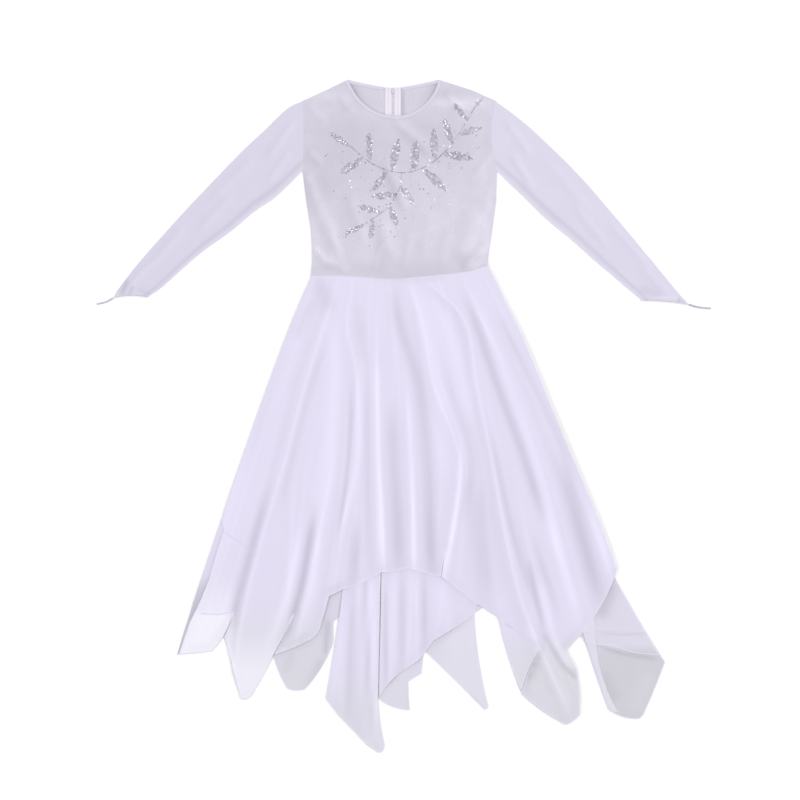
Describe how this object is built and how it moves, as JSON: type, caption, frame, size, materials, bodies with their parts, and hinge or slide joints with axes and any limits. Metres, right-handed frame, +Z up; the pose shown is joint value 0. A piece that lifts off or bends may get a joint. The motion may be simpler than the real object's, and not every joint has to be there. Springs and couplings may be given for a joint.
{
  "type": "modern dance dress",
  "caption": "Long-sleeved modern dance dress laid flat, with a scooped neck, back zip, finger loops and a layered chiffon skirt with a pointed hem.",
  "frame": {"origin": "middle of the footprint, on the surface that the dress lies on", "axes": "+X to the right of the picture (the wearer's left), +Y from the hem to the neck, +Z up from the surface, out of the front of the dress"},
  "size_m": [1.2278, 1.345, 0.016],
  "materials": {
    "bodice_knit": "matt white stretch knit",
    "sleeve_mesh": "fine sheer stretch mesh",
    "skirt_chiffon": "soft chiffon, lavender white",
    "skirt_chiffon_inside": "soft chiffon, seen from inside, greyer",
    "neck_binding": "narrow knit binding",
    "zip_tape": "woven zip tape",
    "zip_teeth": "white nylon coil",
    "zip_metal": "painted slider",
    "elastic": "round elastic cord"
  },
  "bodies": {
    "root": {"bodice_front": "bodice_knit", "bodice_back_left": "bodice_knit", "bodice_back_right": "bodice_knit", "neck_band_front": "neck_binding", "neck_band_back_left": "neck_binding", "neck_band_back_right": "neck_binding", "zip_tape_left": "zip_tape", "zip_tape_right": "zip_tape", "zip_coil": "zip_teeth", "zip_slider": "zip_metal", "sleeve_left": "sleeve_mesh", "sleeve_right": "sleeve_mesh", "finger_loop_left": "elastic", "finger_loop_right": "elastic", "skirt_front_outer": "skirt_chiffon", "skirt_front_under": "skirt_chiffon", "skirt_back_under": "skirt_chiffon_inside", "skirt_back_outer": "skirt_chiffon_inside"}
  },
  "joints": []
}
